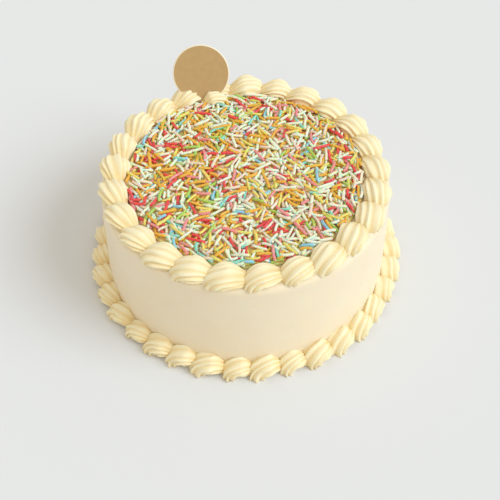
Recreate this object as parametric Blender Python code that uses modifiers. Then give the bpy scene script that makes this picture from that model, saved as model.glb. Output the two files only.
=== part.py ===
"""A round iced layer cake with two piped shell borders, a top covered in sugar strands and a round card.

Metres, +Z up. The origin is the centre of the underside, and the cake's front faces -Y.
Angles run counter-clockwise seen from above, from +X.
Run with: blender --background --python part.py
"""

import math

import bmesh
import bpy
import numpy as np

# The cake: two layers baked in an 8 inch tin, stacked and coated.
FOOT_RADIUS = 0.102
TOP_RADIUS = 0.098
CAKE_HEIGHT = 0.0790
EDGE_ROUND = 0.004
EDGE_STEPS = 3
TURN_STEPS = 48

# Clearance between solids that touch on the real cake.
GAP = 0.0003

# A shell as a star nozzle pipes it: a ridged head rises from its foot, curls over and draws out to a tail.
RIDGES = 8
RIDGE_DEPTH = 0.15
HEAD_TILTS = np.radians([0, 30, 60, 90])
PIVOT_CLEARANCE = 0.02
TAIL_STEPS = 1
DRIFT_POWER = 1.5

# What is left of a shell's height and width at the end of its tail.
TAIL_HEIGHT = 0.30
TAIL_WIDTH = 0.42

# How far a hand-piped shell strays in size (a share), across the ring, along it, and in its turn.
STRAY_SIZE = 0.04
STRAY_ACROSS = 0.0004
STRAY_ALONG = 0.0006
STRAY_TURN = 0.3

# Border round the top edge. The start width is the share of a shell's width that its foot has, and the drift
# is how far its tail ends inside the ring.
TOP_SHELLS = 25
TOP_RING_RADIUS = 0.0904
TOP_BASE_Z = 0.0770
TOP_HALF_LENGTH = 0.0087
TOP_HALF_HEIGHT = 0.0061
TOP_HALF_WIDTH = 0.0115
TOP_TAIL = 0.014
TOP_START_WIDTH = 0.75
TOP_DRIFT = 0.0030
TOP_PHASE = math.radians(4.2)
TOP_SEED = 3

# Border round the foot.
FOOT_SHELLS = 35
FOOT_RING_RADIUS = 0.1055
FOOT_HALF_LENGTH = 0.0076
FOOT_HALF_HEIGHT = 0.0067
FOOT_HALF_WIDTH = 0.0105
FOOT_TAIL = 0.012
FOOT_START_WIDTH = 1.0
FOOT_DRIFT = 0.0026
FOOT_PHASE = math.radians(0.5)
FOOT_SEED = 5

# Sugar strands on the top, inside the border.
STRAND_BED_RADIUS = 0.0770
STRAND_BED_TOP = 0.0815
STRAND_BED_BEVEL = 0.0008
STRAND_REACH = 0.0764
STRAND_COUNT = 88
STRAND_RADIUS = 0.00085
STRAND_LENGTHS = (0.008, 0.014)
STRAND_SIDES = 5
STRAND_TILT = math.radians(4)
STRAND_RISE = (0.0002, 0.0008)
STRAND_SEED = 11

# Round card pushed into the back of the top border.
CARD_RADIUS = 0.0206
CARD_THICKNESS = 0.0012
CARD_CENTRE = (-0.0317, 0.0853, 0.0985)
CARD_LEAN = math.radians(30)
CARD_SIDES = 40

ICING_COLOUR = (0.86, 0.78, 0.58, 1.0)
PIPING_COLOUR = (0.90, 0.83, 0.62, 1.0)
STRANDS_COLOUR = (0.85, 0.55, 0.30, 1.0)
CARD_COLOUR = (0.50, 0.34, 0.17, 1.0)


def cleared_collection(name):
    """A new collection in an emptied scene."""
    for obj in list(bpy.data.objects):
        bpy.data.objects.remove(obj, do_unlink=True)
    collection = bpy.data.collections.new(name)
    bpy.context.scene.collection.children.link(collection)
    return collection


def linked(name, mesh, collection):
    """An object that holds the mesh, in the collection."""
    obj = bpy.data.objects.new(name, mesh)
    collection.objects.link(obj)
    return obj


def coloured(obj, colour, roughness):
    """Gives the object its own plain material."""
    material = bpy.data.materials.new(obj.name)
    material.use_nodes = True
    shader = material.node_tree.nodes["Principled BSDF"]
    shader.inputs["Base Color"].default_value = colour
    shader.inputs["Roughness"].default_value = roughness
    shader.inputs["Metallic"].default_value = 0.0
    obj.data.materials.clear()
    obj.data.materials.append(material)


def turned(name, profile, collection):
    """A profile of (radius, height) points, from the top down its outer side, turned about Z."""
    points = [(radius, 0.0, height) for radius, height in profile]
    mesh = bpy.data.meshes.new(name)
    mesh.from_pydata(points, [(i, i + 1) for i in range(len(points) - 1)], [])
    obj = linked(name, mesh, collection)
    screw = obj.modifiers.new("Turn", "SCREW")
    screw.axis = "Z"
    screw.angle = math.tau
    screw.steps = TURN_STEPS
    screw.render_steps = TURN_STEPS
    screw.use_merge_vertices = True
    screw.merge_threshold = 1e-5
    screw.use_smooth_shade = True
    return obj


def cake_profile(offset):
    """The coated cake's outline, grown by the offset: a flat top, a rounded edge and a wall that leans in."""
    edge = EDGE_ROUND + offset
    centre_radius = TOP_RADIUS - EDGE_ROUND
    centre_height = CAKE_HEIGHT - EDGE_ROUND
    angles = np.linspace(math.pi / 2, 0, EDGE_STEPS + 1)
    arc = [(centre_radius + edge * math.cos(a), centre_height + edge * math.sin(a)) for a in angles]
    return [(0, CAKE_HEIGHT + offset), *arc, (FOOT_RADIUS + offset, -offset), (0, -offset)]


def star(count):
    """Angles round a star nozzle's opening, and the radius there: a ridge and a groove for each tooth."""
    angles = np.arange(2 * count) * math.pi / count
    radii = np.where(np.arange(2 * count) % 2 == 0, 1.0, 1.0 - RIDGE_DEPTH)
    return angles, radii


def shell_sections(half_length, half_height, half_width, tail, start_width, drift, turn):
    """Sections of one shell, by points by (along, inward, up), from the star on its foot to its tail's end.

    Up to the upright one the sections fan out about a pivot line at their lower edge, as the nozzle lifts
    and tips over, and widen from the foot's share of the width to all of it. Those after it move along,
    smaller and smaller, as the nozzle is drawn away. All the while it drifts inward, slowly and then faster.
    """
    angles, radii = star(RIDGES)
    drawn = np.arange(1, TAIL_STEPS + 1) / TAIL_STEPS
    tilts = np.concatenate([HEAD_TILTS, np.full(TAIL_STEPS, math.pi / 2)])[:, None]
    pivots = np.concatenate([np.zeros(len(HEAD_TILTS)), drawn * tail])[:, None]
    heights = np.concatenate([np.ones(len(HEAD_TILTS)), 1 - (1 - TAIL_HEIGHT) * drawn])[:, None]
    spread = start_width + (1 - start_width) * np.sin(HEAD_TILTS)
    widths = np.concatenate([spread, 1 - (1 - TAIL_WIDTH) * drawn])[:, None]
    reach = heights * (1 + PIVOT_CLEARANCE + radii * np.cos(angles + turn))
    along = pivots - half_length * reach * np.cos(tilts)
    progress = np.concatenate([HEAD_TILTS / math.pi, 0.5 + drawn / 2])[:, None]
    inward = half_width * widths * radii * np.sin(angles + turn) + drift * progress**DRIFT_POWER
    up = half_height * reach * np.sin(tilts)
    return np.stack([along, inward, up], axis=2)


def closed_loft(name, sections, collection):
    """Joins a stack of closed sections with side faces, and caps both ends."""
    count, size, _ = sections.shape
    build = bmesh.new()
    rings = [[build.verts.new(point) for point in ring] for ring in sections.tolist()]
    for first, second in zip(rings, rings[1:]):
        for i in range(size):
            build.faces.new((first[i - 1], first[i], second[i], second[i - 1]))
    build.faces.new(rings[0])
    build.faces.new(rings[-1])
    bmesh.ops.triangulate(build, faces=build.faces[:])
    bmesh.ops.recalc_face_normals(build, faces=build.faces[:])
    mesh = bpy.data.meshes.new(name)
    build.to_mesh(mesh)
    build.free()
    return linked(name, mesh, collection)


def piped_shells(name, ring, sizes, collection):
    """A ring of shells, each head over the tail before it, bent along the ring and a little uneven."""
    count, ring_radius, base, phase, seed = ring
    draw = np.random.default_rng(seed)
    half_length, half_height, half_width, tail, start_width, drift = sizes
    shells = []
    for i in range(count):
        grow, shift, slide, turn = draw.uniform(-1, 1, 4)
        scale = 1 + STRAY_SIZE * grow
        grown = (half_length * scale, half_height * scale, half_width * scale, tail, start_width, drift)
        sections = shell_sections(*grown, STRAY_TURN * turn)
        along, inward, up = np.moveaxis(sections, 2, 0)
        angle = phase + math.tau * i / count + (along + STRAY_ALONG * slide) / ring_radius
        radius = ring_radius + STRAY_ACROSS * shift - inward
        placed = np.stack([radius * np.cos(angle), radius * np.sin(angle), base + up], axis=2)
        shells.append(closed_loft(f"{name}_{i}", placed, collection))
    return shells


def strand_cores(collection):
    """Short straight strands spread evenly over the bed by a sunflower spiral, lying in all directions."""
    draw = np.random.default_rng(STRAND_SEED)
    strands = []
    for i in range(STRAND_COUNT):
        length = draw.uniform(*STRAND_LENGTHS)
        heading = draw.uniform(0, math.pi)
        spiral = math.pi * (3 - math.sqrt(5)) * i
        limit = STRAND_REACH - length / 2
        radius = limit * math.sqrt((i + 0.5) / STRAND_COUNT)
        height = STRAND_BED_TOP + draw.uniform(*STRAND_RISE)
        centre = (radius * math.cos(spiral), radius * math.sin(spiral), height)
        tilt = draw.uniform(-STRAND_TILT, STRAND_TILT)
        build = bmesh.new()
        bmesh.ops.create_cone(
            build,
            cap_ends=True,
            segments=STRAND_SIDES,
            radius1=STRAND_RADIUS,
            radius2=STRAND_RADIUS,
            depth=length,
        )
        mesh = bpy.data.meshes.new(f"strand_{i}")
        build.to_mesh(mesh)
        build.free()
        strand = linked(f"strand_{i}", mesh, collection)
        strand.location = centre
        strand.rotation_euler = (math.pi / 2 + tilt, 0, heading)
        strands.append(strand)
    return strands


def apply_modifiers(obj):
    """Bakes the object's modifiers into its mesh."""
    graph = bpy.context.evaluated_depsgraph_get()
    baked = bpy.data.meshes.new_from_object(obj.evaluated_get(graph))
    obj.modifiers.clear()
    obj.data = baked


def united(obj, pieces):
    """Unites the object with a collection of pieces, which are then removed."""
    union = obj.modifiers.new("Unite", "BOOLEAN")
    union.operation = "UNION"
    union.operand_type = "COLLECTION"
    union.collection = pieces
    union.solver = "MANIFOLD"
    apply_modifiers(obj)
    for piece in list(pieces.objects):
        bpy.data.objects.remove(piece, do_unlink=True)
    bpy.data.collections.remove(pieces)


def cut(obj, cutter):
    """Takes the cutter's shape out of the object."""
    difference = obj.modifiers.new("Cut", "BOOLEAN")
    difference.operation = "DIFFERENCE"
    difference.object = cutter
    difference.solver = "MANIFOLD"
    apply_modifiers(obj)


def keep_largest_body(obj):
    """Drops the loose scraps that a cut leaves."""
    build = bmesh.new()
    build.from_mesh(obj.data)
    bodies = []
    waiting = set(build.verts)
    while waiting:
        body = set()
        front = [waiting.pop()]
        while front:
            vertex = front.pop()
            body.add(vertex)
            near = {edge.other_vert(vertex) for edge in vertex.link_edges} & waiting
            waiting -= near
            front.extend(near)
        bodies.append(body)
    bodies.sort(key=len)
    scraps = [vertex for body in bodies[:-1] for vertex in body]
    bmesh.ops.delete(build, geom=scraps, context="VERTS")
    build.to_mesh(obj.data)
    build.free()


def piece_collection(name):
    """A collection for the pieces of a union."""
    pieces = bpy.data.collections.new(name)
    bpy.context.scene.collection.children.link(pieces)
    return pieces


def card(name, growth, collection):
    """The round card, leaning back, or with growth the slot that takes it."""
    bpy.ops.mesh.primitive_cylinder_add(
        vertices=CARD_SIDES,
        radius=CARD_RADIUS + growth,
        depth=CARD_THICKNESS + 2 * growth,
        location=CARD_CENTRE,
        rotation=(math.pi / 2 - CARD_LEAN, 0, 0),
    )
    obj = bpy.context.object
    obj.name = name
    for holder in list(obj.users_collection):
        holder.objects.unlink(obj)
    collection.objects.link(obj)
    return obj


def border(name, ring, sizes, cutters):
    """One piped border, from its ring (count, radius, base, phase, seed): shells united, then cut clear."""
    pieces = piece_collection(name + "_pieces")
    shells = piped_shells(name, ring, sizes, pieces)
    first = shells[0]
    pieces.objects.unlink(first)
    cake.objects.link(first)
    first.name = name
    united(first, pieces)
    for cutter in cutters:
        cut(first, cutter)
    keep_largest_body(first)
    coloured(first, PIPING_COLOUR, 0.6)


cake = cleared_collection("cake")
cutting = piece_collection("cutters")

# The cake under its coat of icing.
body = turned("cake_body", cake_profile(0.0), cake)
coloured(body, ICING_COLOUR, 0.6)
body_cutter = turned("body_cutter", cake_profile(GAP), cutting)

# The card, and the slot that it makes in the border.
topper = card("topper_card", 0.0, cake)
coloured(topper, CARD_COLOUR, 0.5)
slot_cutter = card("slot_cutter", GAP, cutting)

for cutter in (body_cutter, slot_cutter):
    cutter.hide_render = True
    cutter.display_type = "WIRE"

# The borders.
top_sizes = (TOP_HALF_LENGTH, TOP_HALF_HEIGHT, TOP_HALF_WIDTH, TOP_TAIL, TOP_START_WIDTH, TOP_DRIFT)
top_ring = (TOP_SHELLS, TOP_RING_RADIUS, TOP_BASE_Z, TOP_PHASE, TOP_SEED)
border("top_border", top_ring, top_sizes, [body_cutter, slot_cutter])
foot_sizes = (FOOT_HALF_LENGTH, FOOT_HALF_HEIGHT, FOOT_HALF_WIDTH, FOOT_TAIL, FOOT_START_WIDTH, FOOT_DRIFT)
foot_ring = (FOOT_SHELLS, FOOT_RING_RADIUS, 0.0, FOOT_PHASE, FOOT_SEED)
border("bottom_border", foot_ring, foot_sizes, [body_cutter])

# The strands, sunk into the bed of strands that covers the top.
bed_profile = [
    (0, STRAND_BED_TOP),
    (STRAND_BED_RADIUS - STRAND_BED_BEVEL, STRAND_BED_TOP),
    (STRAND_BED_RADIUS, STRAND_BED_TOP - STRAND_BED_BEVEL),
    (STRAND_BED_RADIUS, CAKE_HEIGHT + GAP),
    (0, CAKE_HEIGHT + GAP),
]
sprinkles = turned("sprinkles", bed_profile, cake)
strand_pieces = piece_collection("strand_pieces")
strand_cores(strand_pieces)
united(sprinkles, strand_pieces)
keep_largest_body(sprinkles)
coloured(sprinkles, STRANDS_COLOUR, 0.4)
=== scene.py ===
"""A round celebration cake: smooth buttercream, two piped borders, sugar strands on top and a round card.

Metres, +Z up. The origin is the centre of the cake's underside, and its front faces -Y.
Angles run counter-clockwise seen from above, from +X.
"""

import bpy
import numpy as np
from mathutils import Matrix, Vector


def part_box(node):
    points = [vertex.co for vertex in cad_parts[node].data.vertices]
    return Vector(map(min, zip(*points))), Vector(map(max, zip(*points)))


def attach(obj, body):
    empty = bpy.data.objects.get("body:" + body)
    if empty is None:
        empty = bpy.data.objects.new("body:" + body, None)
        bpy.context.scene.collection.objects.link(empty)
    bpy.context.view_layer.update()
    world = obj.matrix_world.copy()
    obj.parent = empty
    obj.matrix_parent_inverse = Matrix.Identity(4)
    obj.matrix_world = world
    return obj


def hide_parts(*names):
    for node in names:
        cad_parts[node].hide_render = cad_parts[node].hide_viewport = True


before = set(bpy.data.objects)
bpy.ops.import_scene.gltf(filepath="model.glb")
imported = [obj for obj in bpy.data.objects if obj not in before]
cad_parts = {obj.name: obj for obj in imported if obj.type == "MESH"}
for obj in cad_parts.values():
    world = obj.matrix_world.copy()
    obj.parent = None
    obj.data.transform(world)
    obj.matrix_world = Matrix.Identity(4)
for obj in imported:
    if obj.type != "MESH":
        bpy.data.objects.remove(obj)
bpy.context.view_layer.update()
scene = bpy.context.scene

# The camera stands in front of the cake and looks down on it, as somebody at the counter does. Its place was
# found from the rims of the cake, which are circles, and its lens from how much they narrow with distance.
CAMERA_PLACE = (0.0, -0.397, 0.485)
CAMERA_PITCH = np.radians(50.7)
CAMERA_YAW = np.radians(0.46)
LENS_MM = 59.9
SENSOR_MM = 36.0
NEAREST_SEEN = 0.01

camera_data = bpy.data.cameras.new("camera")
camera_data.lens = LENS_MM
camera_data.sensor_width = SENSOR_MM
camera_data.clip_start = NEAREST_SEEN
camera = bpy.data.objects.new("camera", camera_data)
camera.location = CAMERA_PLACE
camera.rotation_euler = (np.pi / 2 - CAMERA_PITCH, 0.0, -CAMERA_YAW)
scene.collection.objects.link(camera)
scene.camera = camera


# The studio: a pale floor that runs on behind the cake, wide soft daylight from the right and above, and
# light from all round. The colours are shown as they are, with no film curve over them.
FLOOR_SIDE = 60.0
FLOOR_COLOUR = (0.775, 0.785, 0.80, 1.0)
SKY_COLOUR = (1.0, 0.955, 0.86, 1.0)
SKY_STRENGTH = 0.72
DAYLIGHT_FROM = Vector((0.718, -0.192, 0.669))
DAYLIGHT_SPREAD = np.radians(35)
DAYLIGHT_STRENGTH = 1.78
DAYLIGHT_COLOUR = (0.80, 0.90, 1.0)


class Link:
    """A shader socket in Python arithmetic: an operator adds the Math node that works it out."""

    def __init__(self, paint, socket):
        self.paint = paint
        self.socket = socket

    def math(self, operation, first, second):
        return self.paint.node("ShaderNodeMath", {"operation": operation}, {0: first, 1: second})

    def __add__(self, other):
        return self.math("ADD", self, other)

    def __sub__(self, other):
        return self.math("SUBTRACT", self, other)

    def __mul__(self, other):
        return self.math("MULTIPLY", self, other)


class Paint:
    """A material on a Principled shader. What stays the same all over is set on the shader's own sockets."""

    def __init__(self, name, **constants):
        self.material = bpy.data.materials.new(name)
        self.material.use_nodes = True
        self.tree = self.material.node_tree
        self.shader = self.tree.nodes["Principled BSDF"]
        for socket, value in constants.items():
            self.set(socket.replace("_", " "), value)

    def feed(self, socket, value):
        if isinstance(value, Link):
            self.tree.links.new(value.socket, socket)
        else:
            socket.default_value = value

    def set(self, name, value):
        self.feed(self.shader.inputs[name], value)

    def node(self, kind, settings=(), inputs=(), output=0):
        """Adds a node of that type: first its settings, then the values or links of its sockets."""
        node = self.tree.nodes.new(kind)
        for key, value in dict(settings).items():
            setattr(node, key, value)
        for key, value in dict(inputs).items():
            self.feed(node.inputs[key], value)
        return Link(self, node.outputs[output])

    def place(self):
        return self.node("ShaderNodeTexCoord", output="Object")

    def attribute(self, name):
        """The value that the mesh carries under that name."""
        return self.node("ShaderNodeAttribute", {"attribute_name": name}, output="Fac")

    def noise(self, scale, detail=2.0, stretch=(1.0, 1.0, 1.0)):
        """Soft noise from 0 to 1, in features about 1/scale metres long, finer where stretch is over 1."""
        where = self.node("ShaderNodeMapping", inputs={"Vector": self.place(), "Scale": stretch})
        return self.node("ShaderNodeTexNoise", inputs={"Vector": where, "Scale": scale, "Detail": detail})

    def blend(self, first, second, amount):
        """A colour between the two."""
        sockets = {0: amount, 6: first, 7: second}
        return self.node("ShaderNodeMix", {"data_type": "RGBA", "clamp_factor": True}, sockets, output=2)

    def between(self, value, low, high):
        """0 below low, 1 above high, and smooth between."""
        settings = {"interpolation_type": "SMOOTHSTEP"}
        return self.node("ShaderNodeMapRange", settings, {"Value": value, "From Min": low, "From Max": high})

    def relief(self, height, depth):
        """Fine relief of that depth in metres, from a height of 0 to 1."""
        self.set("Normal", self.node("ShaderNodeBump", inputs={"Height": height, "Distance": depth}))


scene.view_settings.view_transform = "Standard"

floor_mesh = bpy.data.meshes.new("floor")
edge = FLOOR_SIDE / 2
floor_corners = [(-edge, -edge, 0), (edge, -edge, 0), (edge, edge, 0), (-edge, edge, 0)]
floor_mesh.from_pydata(floor_corners, [], [(0, 1, 2, 3)])
floor = bpy.data.objects.new("floor", floor_mesh)
scene.collection.objects.link(floor)
floor_paint = Paint("floor", Roughness=0.9)
floor_paint.set("Base Color", FLOOR_COLOUR)
floor_mesh.materials.append(floor_paint.material)

world = bpy.data.worlds.new("studio")
world.use_nodes = True
scene.world = world
world.node_tree.nodes["Background"].inputs["Color"].default_value = SKY_COLOUR
world.node_tree.nodes["Background"].inputs["Strength"].default_value = SKY_STRENGTH

daylight_data = bpy.data.lights.new("daylight", "SUN")
daylight_data.angle = DAYLIGHT_SPREAD
daylight_data.energy = DAYLIGHT_STRENGTH
daylight_data.color = DAYLIGHT_COLOUR
daylight = bpy.data.objects.new("daylight", daylight_data)
daylight.location = DAYLIGHT_FROM
daylight.rotation_euler = DAYLIGHT_FROM.to_track_quat("Z", "Y").to_euler()
scene.collection.objects.link(daylight)


# The coat of buttercream over the sponge, spread with a palette knife and scraped round on a turntable.
# The wall leans in a little, the top edge is rounded, and the scraper leaves faint waves and level lines.
TOP_STEPS = 8
EDGE_STEPS = 12
WALL_STEPS = 39
COAT_SIDES = 180
COAT_WAVE = 0.00022
EDGE_ROUND = 0.004
TOP_INSET = 0.004
UNDERSIDE_INSET = 0.001
MIDDLE_RING = 0.001
SWELLS = ((1.0, 3, 40.0, 0.0), (0.7, 7, -90.0, 1.3))
coat_low, coat_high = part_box("cake_body")
FOOT_RADIUS = (coat_high[0] - coat_low[0]) / 2
CAKE_HEIGHT = coat_high[2]


def closed_tubes(name, rings, fields=()):
    """A mesh of closed tubes from rings, an array of tubes by sections by points by XYZ.

    Quads join each ring to the next, and triangles to its middle close the first and the last ring. Faces are
    turned round if the volume of the first tube comes out negative. Fields are values for the rings' points.
    """
    tubes, sections, sides, _ = rings.shape
    middles = rings[:, [0, -1]].mean(axis=2)
    index = np.arange(tubes * sections * sides).reshape(tubes, sections, sides)
    after = np.roll(index, -1, axis=2)
    quads = np.stack([index[:, :-1], after[:, :-1], after[:, 1:], index[:, 1:]], axis=-1).reshape(-1, 4)
    tips = index.size + np.arange(2 * tubes).reshape(tubes, 2)
    start = np.broadcast_to(tips[:, :1], (tubes, sides))
    end = np.broadcast_to(tips[:, 1:], (tubes, sides))
    first = np.stack([start, after[:, 0], index[:, 0]], axis=-1).reshape(-1, 3)
    last = np.stack([end, index[:, -1], after[:, -1]], axis=-1).reshape(-1, 3)
    points = np.concatenate([rings.reshape(-1, 3), middles.reshape(-1, 3)])

    around = points[index[0]] - points[index[0]].mean(axis=(0, 1))
    across = np.cross(around[:-1], np.roll(around[:-1], -1, axis=1))
    if (across * around[1:]).sum() < 0:
        quads, first, last = quads[:, ::-1], first[:, ::-1], last[:, ::-1]
    triangles = np.concatenate([first, last])

    mesh = bpy.data.meshes.new(name)
    mesh.vertices.add(len(points))
    mesh.vertices.foreach_set("co", points.astype(np.float32).ravel())
    corners = np.concatenate([quads.ravel(), triangles.ravel()])
    mesh.loops.add(len(corners))
    mesh.loops.foreach_set("vertex_index", corners.astype(np.int32))
    starts = np.concatenate([np.arange(len(quads)) * 4, quads.size + np.arange(len(triangles)) * 3])
    mesh.polygons.add(len(starts))
    mesh.polygons.foreach_set("loop_start", starts.astype(np.int32))
    mesh.update(calc_edges=True)
    for field, values in dict(fields).items():
        ends = values[:, [0, -1]].mean(axis=2)
        filled = np.concatenate([values.ravel(), ends.ravel()]).astype(np.float32)
        mesh.attributes.new(field, "FLOAT", "POINT").data.foreach_set("value", filled)
    mesh.shade_smooth()
    return mesh


def add_piece(mesh, paint, node):
    """Puts a finished mesh in the scene, under its own name, to stand for a solid of the frame."""
    piece = bpy.data.objects.new(mesh.name, mesh)
    scene.collection.objects.link(piece)
    mesh.materials.append(paint.material)
    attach(piece, "root")
    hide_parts(node)


def turned_rings(profile, sides, wave=0.0):
    """A profile of (radius, height) rows turned about Z.

    The radius swells by wave times two sines. Each is given as its share, its waves round, how fast it climbs
    in radians a metre, and where it starts.
    """
    radius, height = profile[:, :1], profile[:, 1:]
    angle = np.arange(sides) * 2 * np.pi / sides
    sines = [share * np.sin(waves * angle + climb * height + start) for share, waves, climb, start in SWELLS]
    reach = radius + wave * sum(sines) * radius / FOOT_RADIUS
    return np.stack([reach * np.cos(angle), reach * np.sin(angle), height + 0 * angle], axis=2)[None]


def coat_profile():
    """Rows of (radius, height) from the top's middle, round the edge and down the wall to the underside.

    The edge is a quarter circle, and the wall is a straight line from it to the foot, so it leans in.
    """
    top_radius = FOOT_RADIUS - TOP_INSET
    flat = np.linspace(MIDDLE_RING, top_radius - EDGE_ROUND, TOP_STEPS, endpoint=False)
    bend = np.linspace(np.pi / 2, 0, EDGE_STEPS)
    wall = np.linspace(0, 1, WALL_STEPS + 1)[1:]
    turn = top_radius - EDGE_ROUND + EDGE_ROUND * np.cos(bend)
    rise = CAKE_HEIGHT - EDGE_ROUND + EDGE_ROUND * np.sin(bend)
    under = [FOOT_RADIUS - UNDERSIDE_INSET, MIDDLE_RING]
    radius = np.concatenate([flat, turn, top_radius + TOP_INSET * wall, under])
    height = np.concatenate([0 * flat + CAKE_HEIGHT, rise, (CAKE_HEIGHT - EDGE_ROUND) * (1 - wall), [0, 0]])
    return np.stack([radius, height], axis=1)


def rgb(red, green, blue):
    """A colour given as a screen shows it, 0 to 255, as the shader wants it: the sRGB curve undone."""
    screen = np.array([red, green, blue]) / 255
    light = np.where(screen <= 0.04045, screen / 12.92, ((screen + 0.055) / 1.055) ** 2.4)
    return (*light.tolist(), 1.0)


SMOOTH_ICING = rgb(249, 235, 208)
SMOOTH_ICING_DEEP = rgb(245, 227, 195)
LEVEL_LINES = (1.0, 1.0, 14.0)
LINES_SHARE = 0.75
COAT_RELIEF = 0.00035

coat_paint = Paint(
    "smooth_buttercream",
    Roughness=0.55,
    Subsurface_Weight=0.25,
    Subsurface_Scale=0.006,
    Subsurface_Radius=(1.0, 0.75, 0.4),
    Specular_IOR_Level=0.35,
)
coat_cloud = coat_paint.noise(45.0, 3.0)
coat_paint.set("Base Color", coat_paint.blend(SMOOTH_ICING, SMOOTH_ICING_DEEP, coat_cloud))
scraper_lines = coat_paint.noise(30.0, 4.0, LEVEL_LINES)
pores = coat_paint.noise(900.0, 2.0)
coat_paint.relief(scraper_lines * LINES_SHARE + pores * (1 - LINES_SHARE), COAT_RELIEF)

coat_mesh = closed_tubes("cake_coat", turned_rings(coat_profile(), COAT_SIDES, COAT_WAVE))
add_piece(coat_mesh, coat_paint, "cake_body")


# The border round the top edge: shells piped side by side with a star nozzle, counter-clockwise. Each one
# swells up from its foot, curls over and is drawn out to a tail, and the next shell's head sits on that tail.
RIDGES = 10
RIDGE_DEPTH = 0.26
RIDGE_TWIST = 0.5
RIDGE_WORN = 0.07
RIDGE_WAVE = 0.03
SLOW_SWAY = 0.10
FAST_SWAY = 0.06
LUMP_DEPTH = 0.014
RIPPLE_DEPTH = 0.010
HEAD_SECTIONS = 17
TAIL_SECTIONS = 10
POINTS_PER_RIDGE = 10
PIVOT_CLEARANCE = 0.02
TAIL_HEIGHT = 0.30
TAIL_WIDTH = 0.42
DRIFT_POWER = 1.5
STRAY_SIZE = 0.06
STRAY_ACROSS = 0.0006
STRAY_ALONG = 0.0010
STRAY_TURN = 0.45
GROOVE_SHADE = 0.7
TAIL_SHADE = 0.7
LOW_SHADE = 0.4
TOP_SHELLS = 25
TOP_RING_RADIUS = 0.0904
TOP_BASE_Z = 0.0770
TOP_SIZES = {
    "half_length": 0.0077,
    "half_height": 0.0061,
    "half_width": 0.0115,
    "tail": 0.0175,
    "start_width": 0.75,
    "drift": 0.0038,
}
TOP_PHASE = np.radians(3.6)
TOP_SEED = 3


def piped_shells(count, ring_radius, base, sizes, phase, seed):
    """Rings of a border's shells, as shells by sections by points by XYZ, and each point's painted shade.

    A section is a star. Its radius is 1 less a dip into the grooves, which is half of 1 - |cos| plus half of
    |sin|, both of ridges * angle / 2, as that makes crests and grooves crisp. Ridges sway from side to side,
    and wear, waves, lumps and ripples take a little more off the radius. Whole numbers in their sines count
    the waves round a section, or the radians for each step of progress. Progress is 0 where the fan starts,
    1 at the upright section and 2 at the tail's tip. Up to the upright one, sections fan out about a pivot
    line at their lower edge. Those after it move along and shrink. Distance along the shell is then bent round
    the ring, and the shell drifts inwards as it goes. Each point gets painted shade: the deeper it lies in the
    grooves, the further out on the tail and the lower it is, the darker, as a stand-in for shade falling
    there.
    """
    draw = np.random.default_rng(seed)
    uneven = draw.uniform(-1, 1, (count, 4))
    grow, shift, slide, turn = (uneven[:, i, None, None] for i in range(4))
    phases = draw.uniform(0, 2 * np.pi, (5, count, 1, 1))
    shell = np.arange(count)[:, None, None]

    upright = np.pi / 2
    drawn = np.concatenate([np.zeros(HEAD_SECTIONS), np.linspace(0, 1, TAIL_SECTIONS + 1)[1:]])
    tilt = np.concatenate([np.linspace(0, upright, HEAD_SECTIONS), np.full(TAIL_SECTIONS, upright)])
    drawn, tilt = drawn[None, :, None], tilt[None, :, None]
    progress = tilt / upright + drawn
    points = RIDGES * POINTS_PER_RIDGE
    angle = np.arange(points)[None, None, :] * 2 * np.pi / points

    scale = 1 + STRAY_SIZE * grow
    spread = sizes["start_width"] + (1 - sizes["start_width"]) * np.sin(tilt)
    eased = drawn**2 * (3 - 2 * drawn)
    height = scale * (1 - (1 - TAIL_HEIGHT) * eased)
    width = sizes["half_width"] * scale * spread * (1 - (1 - TAIL_WIDTH) * eased)

    slow = SLOW_SWAY * np.sin(3 * angle + phases[3])
    fast = FAST_SWAY * np.sin(5 * angle + 2 * progress + phases[4])
    uneven_angle = angle + slow + fast
    crest = np.abs(np.cos(RIDGES * uneven_angle / 2))
    groove_and_painted_shade = (1 - crest + np.abs(np.sin(RIDGES * uneven_angle / 2))) / 2
    ridge = (RIDGES * uneven_angle / (2 * np.pi) + 0.5).astype(int) % RIDGES
    worn = draw.uniform(0, RIDGE_WORN, (count, RIDGES))[shell, ridge]
    wave_start = draw.uniform(0, 2 * np.pi, (count, RIDGES))[shell, ridge]
    wave = RIDGE_WAVE * (1 - np.sin(8 * progress + wave_start))
    lump = np.sin(2 * angle + 3 * progress + phases[0]) + np.sin(3 * angle - 4 * progress + phases[1])
    ripple = np.sin(RIDGES / 2 * angle + 9 * progress + phases[2])
    smooth = 1 - RIDGE_DEPTH * groove_and_painted_shade - LUMP_DEPTH * (2 - lump) - RIPPLE_DEPTH * (1 - ripple)
    radius = smooth - crest * (worn + wave)

    turned = angle + STRAY_TURN * turn + RIDGE_TWIST * (progress - 1)
    reach = height * (1 + PIVOT_CLEARANCE + radius * np.cos(turned))
    inward = width * radius * np.sin(turned)
    along = sizes["tail"] * drawn - sizes["half_length"] * reach * np.cos(tilt) + STRAY_ALONG * slide
    round_angle = phase + 2 * np.pi * shell / count + along / ring_radius
    drift = sizes["drift"] * (progress / 2) ** DRIFT_POWER
    out = ring_radius + STRAY_ACROSS * shift - inward - drift
    up = base + sizes["half_height"] * reach * np.sin(tilt)
    rings = np.stack([out * np.cos(round_angle), out * np.sin(round_angle), up], axis=3)
    # Painted shade: darker deep in the grooves, out on the tail and low down, standing in for the shade that
    # falls there.
    low = 1 - reach * np.sin(tilt) / 2
    shade = np.clip(GROOVE_SHADE * groove_and_painted_shade**2 + TAIL_SHADE * drawn + LOW_SHADE * low**2, 0, 1)
    return rings, shade


# The deep colour serves both as a deeper random tone of the icing and as painted shade in grooves, on tails
# and low down.
PIPED_ICING = rgb(254, 241, 204)
PIPED_ICING_DEEP_AND_SHADED = rgb(241, 208, 134)
PAINTED_SHADE_DEEPENS = 0.8
CLOUDS_DEEPEN = 0.3
ALL_PALER = 0.2
PIPED_RELIEF = 0.00015

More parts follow.
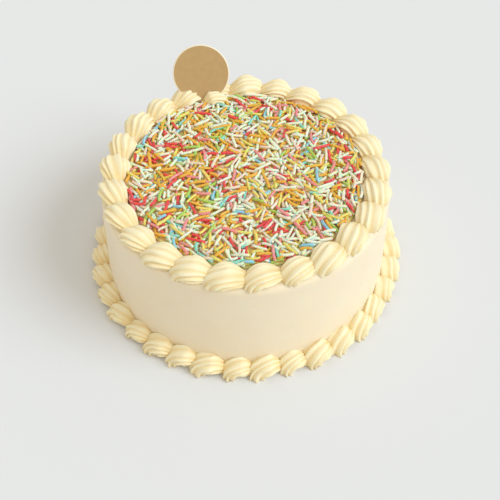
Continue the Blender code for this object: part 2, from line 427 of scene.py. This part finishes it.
piped_paint = Paint(
    "piped_buttercream",
    Roughness=0.5,
    Subsurface_Weight=0.2,
    Subsurface_Scale=0.003,
    Subsurface_Radius=(1.0, 0.75, 0.4),
    Specular_IOR_Level=0.4,
)
# The icing's colour deepens with the painted shade that the shells' meshes carry, and with random clouds of
# deeper tone.
painted_shade_and_clouds = piped_paint.attribute("groove_and_painted_shade") * PAINTED_SHADE_DEEPENS + piped_paint.noise(160.0, 3.0) * CLOUDS_DEEPEN
piped_paint.set("Base Color", piped_paint.blend(PIPED_ICING, PIPED_ICING_DEEP_AND_SHADED, painted_shade_and_clouds - ALL_PALER))
piped_paint.relief(piped_paint.noise(1400.0, 3.0), PIPED_RELIEF)

top_rings, top_shade = piped_shells(TOP_SHELLS, TOP_RING_RADIUS, TOP_BASE_Z, TOP_SIZES, TOP_PHASE, TOP_SEED)
top_mesh = closed_tubes("top_shells", top_rings, {"groove_and_painted_shade": top_shade})
add_piece(top_mesh, piped_paint, "top_border")


# The small shell that holds the card. It was piped last, on the strands' side of the card's foot, so that the
# card stands between it and the border.
DAB_RING_RADIUS = 0.0775
DAB_BASE_Z = 0.0800
DAB_SIZES = {
    "half_length": 0.0074,
    "half_height": 0.0050,
    "half_width": 0.0072,
    "tail": 0.007,
    "start_width": 0.9,
    "drift": -0.001,
}
DAB_ANGLE = np.radians(108)
DAB_SEED = 2

dab_rings, dab_shade = piped_shells(1, DAB_RING_RADIUS, DAB_BASE_Z, DAB_SIZES, DAB_ANGLE, DAB_SEED)
dab_mesh = closed_tubes("holding_dab", dab_rings, {"groove_and_painted_shade": dab_shade})
add_piece(dab_mesh, piped_paint, "top_border")


# The border round the foot, piped the same way with smaller shells that stand on the floor against the wall.
# The nozzle's star stays open at each shell's foot, so its teeth make a scalloped edge there.
FOOT_SHELLS = 35
FOOT_RING_RADIUS = 0.1055
FOOT_BASE_Z = 0.0
FOOT_SIZES = {
    "half_length": 0.0076,
    "half_height": 0.0067,
    "half_width": 0.0105,
    "tail": 0.012,
    "start_width": 1.0,
    "drift": 0.0026,
}
FOOT_PHASE = np.radians(0.5)
FOOT_SEED = 5

foot_rings, foot_shade = piped_shells(
    FOOT_SHELLS, FOOT_RING_RADIUS, FOOT_BASE_Z, FOOT_SIZES, FOOT_PHASE, FOOT_SEED
)
foot_mesh = closed_tubes("foot_shells", foot_rings, {"groove_and_painted_shade": foot_shade})
add_piece(foot_mesh, piped_paint, "bottom_border")


# The sugar strands: thin sticks of coloured sugar paste, cut short and a little bent, poured on until they
# hide the icing inside the border. They lie one over the other, on a bed of strands pressed together.
BED_TOP = 0.0806
BED_RADIUS = 0.0800
BED_EDGE_IN = 0.001
BED_EDGE_DOWN = 0.0008
BED_SIDES = 96
STRAND_REACH = 0.0803
STRAND_COUNT = 1600
STRAND_TRIES = 12
STRAND_RADIUS = 0.00100
STRAND_PACKING = 0.32
STRAND_LENGTHS = (0.006, 0.013)
STRAND_THICKNESSES = (0.88, 1.08)
STRAND_BEND = 0.0009
BEND_MIDDLE = 0.4
STRAND_SIDES = 8
STRAND_SEED = 20
STEEPEST = 0.28
MAP_CELL = 0.0006
MAP_MARGIN = 3
HALF_STEPS = 15
FOOTPRINT = 0.6
STRAND_COLOURS = {
    "cream": (rgb(255, 246, 222), 0.31),
    "pale_mint": (rgb(248, 247, 212), 0.05),
    "blush": (rgb(255, 222, 202), 0.10),
    "amber": (rgb(255, 190, 80), 0.20),
    "lemon": (rgb(255, 226, 126), 0.12),
    "crimson": (rgb(242, 90, 90), 0.085),
    "rose": (rgb(252, 160, 158), 0.06),
    "leaf": (rgb(178, 214, 108), 0.033),
    "teal": (rgb(150, 224, 206), 0.028),
    "sky": (rgb(156, 216, 236), 0.014),
}
BED_COLOUR = rgb(255, 222, 150)
PALER = 0.25
DEEPER = 0.94
PATCHES = (0.3, 0.6)
DUST = (0.55, 0.85)
DUST_COVER = 0.5
STRAND_RELIEF = 0.00006


def dropped_strands(draw):
    """Place, heading, slope and half length of strands dropped one by one on a map of the heap's height.

    Each one is tried at a few random spots where both its ends stay inside the border, comes to rest on the
    highest point under each of its halves, and stays at the lowest of those spots, as a shaken heap evens
    out. It then raises the map along its length by a part of its thickness, as strands settle into the gaps
    between others. The map is a square grid of heights over the cake's top.
    """
    cells = int(2 * STRAND_REACH / MAP_CELL) + 2 * MAP_MARGIN
    heights = np.full((cells, cells), BED_TOP)
    steps = np.linspace(-1, 1, 2 * HALF_STEPS + 1)
    widths = np.array([-FOOTPRINT, 0.0, FOOTPRINT]) * STRAND_RADIUS
    strands = []
    while len(strands) < STRAND_COUNT:
        half = draw.uniform(*STRAND_LENGTHS) / 2
        heading = draw.uniform(0, np.pi, STRAND_TRIES)
        round_angle = draw.uniform(0, 2 * np.pi, STRAND_TRIES)
        out = STRAND_REACH * np.sqrt(draw.uniform(0, 1, STRAND_TRIES))
        x, y = out * np.cos(round_angle), out * np.sin(round_angle)
        lean = half * np.abs(np.cos(round_angle - heading))
        inside = out**2 + half**2 + 2 * out * lean < STRAND_REACH**2
        if not inside.any():
            continue
        x, y, heading = x[inside], y[inside], heading[inside]
        along = steps * half
        column = (x + along[:, None] * np.cos(heading))[..., None] - widths * np.sin(heading)[:, None]
        row = (y + along[:, None] * np.sin(heading))[..., None] + widths * np.cos(heading)[:, None]
        spots = tuple((line / MAP_CELL).round().astype(int) + cells // 2 for line in (row, column))
        under = heights[spots].max(axis=2)
        left = under[:HALF_STEPS].argmax(axis=0)
        right = HALF_STEPS + 1 + under[HALF_STEPS + 1 :].argmax(axis=0)
        tries = np.arange(len(x))
        slope = (under[right, tries] - under[left, tries]) / (along[right] - along[left])
        slope = np.clip(slope, -STEEPEST, STEEPEST)
        middle = (under - slope * along[:, None]).max(axis=0)
        best = middle.argmin()
        raised = middle[best] + slope[best] * along + 2 * STRAND_RADIUS * STRAND_PACKING
        spots = tuple(line[:, best] for line in spots)
        heights[spots] = np.maximum(heights[spots], raised[:, None])
        strands.append((x[best], y[best], middle[best] + STRAND_RADIUS, heading[best], slope[best], half))
    return np.array(strands).T


def strand_rings(x, y, z, heading, slope, half, draw):
    """Rings of strands, as strands by sections by points by XYZ: round sticks with domed ends.

    A strand bows sideways as the square of the distance from its middle.
    """
    stations = np.array([-1.0, -0.93, -0.45, 0.0, 0.45, 0.93, 1.0])
    thickness = np.array([0.35, 0.95, 1.0, 1.0, 1.0, 0.95, 0.35])
    count = len(x)
    angle = np.arange(STRAND_SIDES) * 2 * np.pi / STRAND_SIDES
    bow = draw.uniform(-1, 1, count) * STRAND_BEND
    size = STRAND_RADIUS * draw.uniform(*STRAND_THICKNESSES, count)
    tilt = np.arctan(slope)
    forward = np.stack([np.cos(heading) * np.cos(tilt), np.sin(heading) * np.cos(tilt), np.sin(tilt)], axis=1)
    sideways = np.stack([-np.sin(heading), np.cos(heading), 0 * heading], axis=1)
    upward = np.cross(forward, sideways)
    centre = np.stack([x, y, z], axis=1)[:, None] + (half[:, None] * stations)[..., None] * forward[:, None]
    centre = centre + (bow[:, None] * (stations**2 - BEND_MIDDLE))[..., None] * sideways[:, None]
    across = np.cos(angle)[:, None] * sideways[:, None, None] + np.sin(angle)[:, None] * upward[:, None, None]
    ring = size[:, None, None] * thickness[:, None]
    return centre[:, :, None] + ring[..., None] * across


def strand_paint(name, colour):
    """Sugar paste: matt, with light that goes a little way in, in patches of slightly different shades."""
    paint = Paint(name, Roughness=0.42, Subsurface_Weight=0.8, Subsurface_Scale=0.003, Specular_IOR_Level=0.3)
    pale = (*((1 - PALER) * value + PALER for value in colour[:3]), 1.0)
    deep = (*(DEEPER * value for value in colour[:3]), 1.0)
    shade = paint.blend(deep, colour, paint.between(paint.noise(220.0, 1.0), *PATCHES))
    dust = paint.between(paint.noise(500.0, 2.0), *DUST) * DUST_COVER
    paint.set("Base Color", paint.blend(shade, pale, dust))
    paint.relief(paint.noise(2500.0, 2.0), STRAND_RELIEF)
    return paint


draw = np.random.default_rng(STRAND_SEED)
strands = dropped_strands(draw)
rings = strand_rings(*strands, draw)
shares = np.array([share for _, share in STRAND_COLOURS.values()])
kinds = draw.choice(len(shares), STRAND_COUNT, p=shares / shares.sum())
for kind, (shade_name, (colour, _)) in enumerate(STRAND_COLOURS.items()):
    name = "strands_" + shade_name
    add_piece(closed_tubes(name, rings[kinds == kind]), strand_paint(name, colour), "sprinkles")

bed_profile = np.array(
    [
        (MIDDLE_RING, BED_TOP),
        (BED_RADIUS - BED_EDGE_IN, BED_TOP),
        (BED_RADIUS, BED_TOP - BED_EDGE_DOWN),
        (BED_RADIUS, CAKE_HEIGHT),
        (MIDDLE_RING, CAKE_HEIGHT),
    ]
)
bed_mesh = closed_tubes("strand_bed", turned_rings(bed_profile, BED_SIDES))
add_piece(bed_mesh, strand_paint("strand_bed", BED_COLOUR), "sprinkles")


# The round card at the back: a stiff gold-brown disc with a raised pale edge, pushed into the icing so that it
# leans back. Both its sides are plain.
CARD_LEAN = np.radians(30)
CARD_THICKNESS = 0.0012
CARD_RIM = 0.0008
CARD_STEP = 0.0001
CARD_MIDDLE_RING = 0.0005
CARD_SIDES = 128
CARD_EDGE_STEPS = 9
SHARP_FROM = np.radians(40)
card_low, card_high = (np.array(corner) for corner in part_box("topper_card"))
CARD_RADIUS = (card_high[0] - card_low[0]) / 2
CARD_CENTRE = ((card_low + card_high) / 2).tolist()
CARD_PLACE = Matrix.Translation(CARD_CENTRE) @ Matrix.Rotation(np.pi / 2 - CARD_LEAN, 4, "X")
CARD_FACE = rgb(188, 154, 102)
CARD_FACE_PALE = rgb(203, 171, 120)
CARD_EDGE = rgb(250, 240, 214)
CARD_RELIEF = 0.00004


def card_rings(profile):
    """A profile of (radius, height) rows turned about the card's own axis, and put where the card stands."""
    flat = turned_rings(np.array(profile), CARD_SIDES)
    place = np.array(CARD_PLACE)
    return flat @ place[:3, :3].T + place[:3, 3]


inner = CARD_RADIUS - CARD_RIM
lip = CARD_THICKNESS / 2
face = lip - CARD_STEP
edge_arc = np.linspace(np.pi / 2, -np.pi / 2, CARD_EDGE_STEPS)
outer_edge = [(CARD_RADIUS - lip + lip * np.cos(a), lip * np.sin(a)) for a in edge_arc]
front = [(CARD_MIDDLE_RING, face), (inner / 2, face), (inner - CARD_STEP, face), (inner, lip)]
back = [(radius, -height) for radius, height in front[::-1]]
rim = np.array([0, 0, 0, 1] + [1] * CARD_EDGE_STEPS + [1, 0, 0, 0])
card_rim = np.broadcast_to(rim[None, :, None], (1, len(rim), CARD_SIDES))

card_paint = Paint("gold_card", Roughness=0.5, Specular_IOR_Level=0.45)
card_face = card_paint.blend(CARD_FACE, CARD_FACE_PALE, card_paint.noise(260.0, 4.0))
card_paint.set("Base Color", card_paint.blend(card_face, CARD_EDGE, card_paint.attribute("rim")))
card_paint.relief(card_paint.noise(3000.0, 2.0), CARD_RELIEF)

card_mesh = closed_tubes("round_card", card_rings([*front, *outer_edge, *back]), {"rim": card_rim})
card_mesh.set_sharp_from_angle(angle=SHARP_FROM)
add_piece(card_mesh, card_paint, "topper_card")
